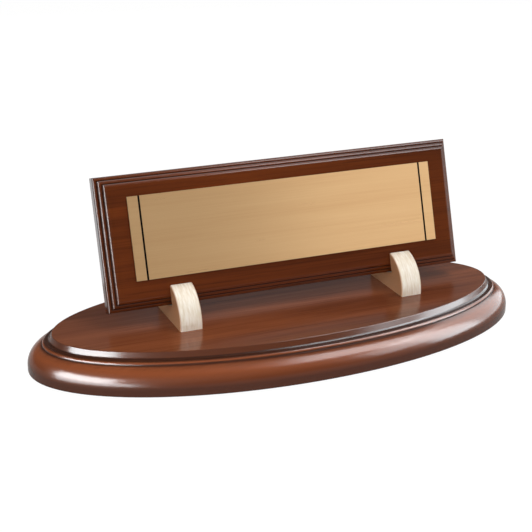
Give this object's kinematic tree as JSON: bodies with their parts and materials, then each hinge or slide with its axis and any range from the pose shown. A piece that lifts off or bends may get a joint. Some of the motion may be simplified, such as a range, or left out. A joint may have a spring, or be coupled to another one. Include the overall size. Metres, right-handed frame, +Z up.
{
  "type": "desk name plate",
  "caption": "Desk name plate: a moulded wooden board with a blank brushed metal plate, leaning in slotted metal brackets on an oval wooden base with a routed edge.",
  "frame": {"origin": "on the surface that the pads stand on, under the middle of the oval base", "axes": "+X along the length, to the right seen from the front; the plate faces -Y and leans back towards +Y; +Z up"},
  "size_m": [0.3178, 0.1444, 0.1091],
  "materials": {
    "base_wood": "red-brown stained wood under clear gloss lacquer",
    "plaque_wood": "brown stained wood under clear semi-gloss lacquer",
    "bracket_brass": "cast, satin pale gold plated",
    "plate_brass": "sheet, brushed along its length, pale gold",
    "line_enamel": "black enamel fill",
    "tape_foam": "thin double-sided tape",
    "screw_steel": "zinc plated steel",
    "pad_rubber": "matt black rubber"
  },
  "bodies": {
    "stand": {"base_board": "base_wood", "foot_pad_front_left": "pad_rubber", "foot_pad_front_right": "pad_rubber", "foot_pad_rear_left": "pad_rubber", "foot_pad_rear_right": "pad_rubber", "bracket_left": "bracket_brass", "bracket_right": "bracket_brass", "bracket_screws": "screw_steel"},
    "plaque": {"plaque_board": "plaque_wood", "plate_tape": "tape_foam", "name_plate": "plate_brass", "enamel_lines": "line_enamel"}
  },
  "joints": [
    {"name": "plaque_lift", "type": "slide", "parent": "stand", "child": "plaque", "axis": [0, 0.3024, 0.9532], "range_m": [0, 0.04]}
  ]
}
